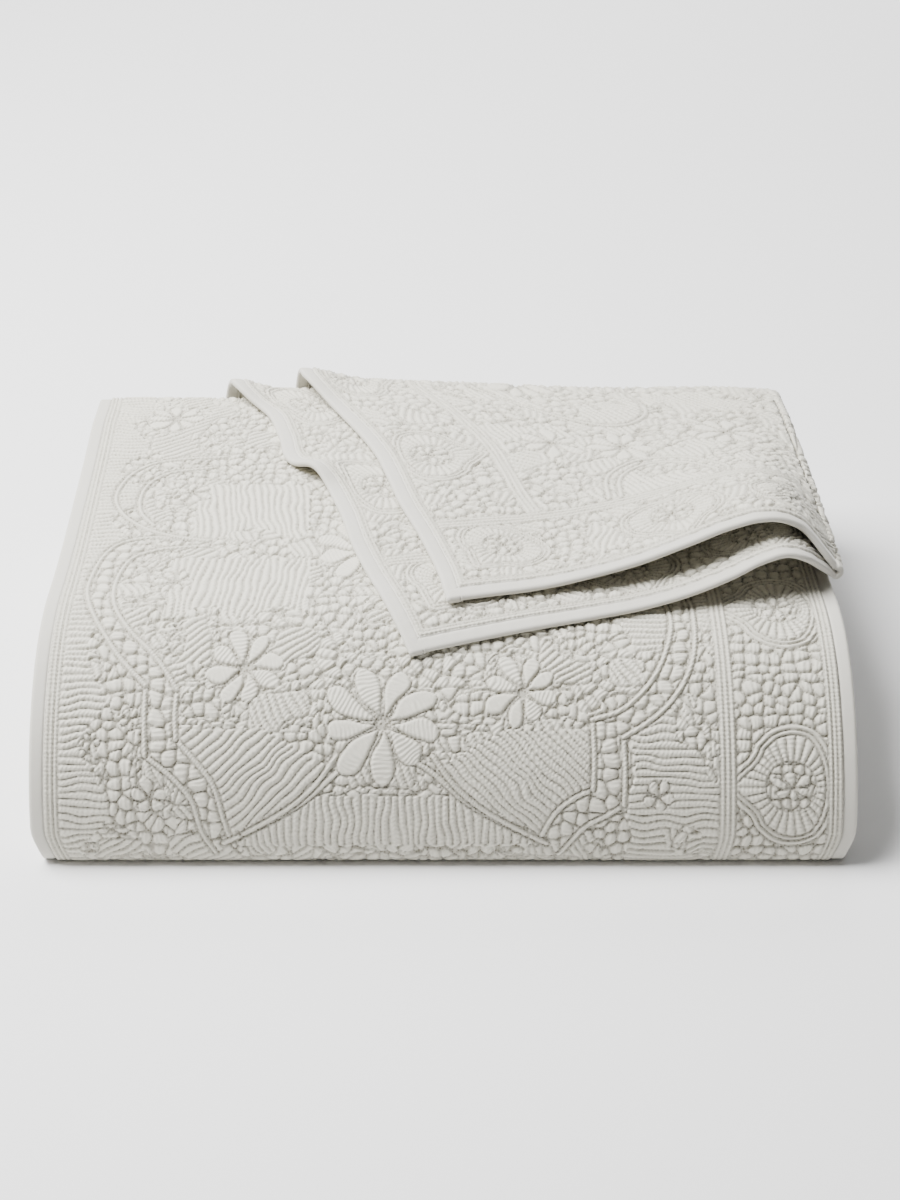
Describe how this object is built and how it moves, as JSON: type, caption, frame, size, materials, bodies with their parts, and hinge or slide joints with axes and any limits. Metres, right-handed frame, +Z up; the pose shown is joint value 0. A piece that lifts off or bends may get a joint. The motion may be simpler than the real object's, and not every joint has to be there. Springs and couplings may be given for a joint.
{
  "type": "quilted coverlet",
  "caption": "White quilted coverlet folded back and forth into a bundle, with its bound loose end turned over skew on top.",
  "frame": {"origin": "middle of the overall box in plan, on the surface that the bundle rests on", "axes": "+Z up; the rounded front fold faces -Y; +X is the side of the turned fold of the loose end"},
  "size_m": [0.6205, 0.5106, 0.2026],
  "materials": {
    "quilted_cotton": "matt washed cotton, quilted",
    "plain_binding_cotton": "matt plain cotton"
  },
  "bodies": {
    "root": {"coverlet_cloth": "quilted_cotton", "side_binding_left": "plain_binding_cotton", "side_binding_right": "plain_binding_cotton", "loose_end_binding": "plain_binding_cotton", "lower_edge_binding": "plain_binding_cotton", "upper_edge_binding": "plain_binding_cotton"}
  },
  "joints": []
}
